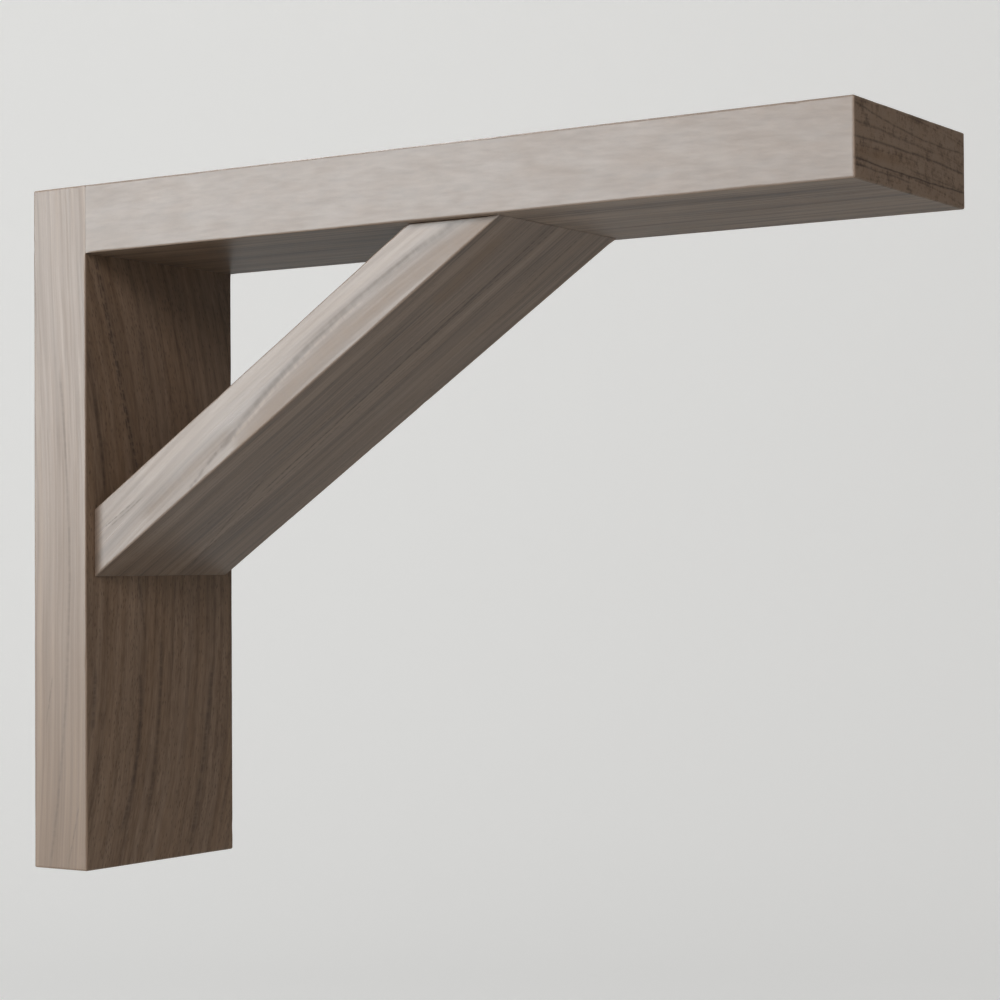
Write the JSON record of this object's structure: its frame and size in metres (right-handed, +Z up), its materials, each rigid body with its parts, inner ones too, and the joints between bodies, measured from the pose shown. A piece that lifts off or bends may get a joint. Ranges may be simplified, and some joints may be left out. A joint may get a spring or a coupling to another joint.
{
  "type": "wooden bar bracket",
  "caption": "Wooden bar bracket: an upright wall plate, a level arm under the bar top, and a diagonal brace between them.",
  "frame": {"origin": "middle of the wall plate's back face, on the wall", "axes": "+X out of the wall along the arm, +Y across the bracket, +Z up"},
  "size_m": [0.3556, 0.0888, 0.2666],
  "materials": {
    "wall_plate_wood": "bare sanded hardwood, grey-brown, grain upright",
    "arm_wood": "bare sanded hardwood, grey-brown, grain along the arm",
    "brace_wood": "bare sanded hardwood, grey-brown with long darker streaks, grain along the brace"
  },
  "bodies": {
    "root": {"wall_plate": "wall_plate_wood", "arm": "arm_wood", "brace": "brace_wood"}
  },
  "joints": []
}
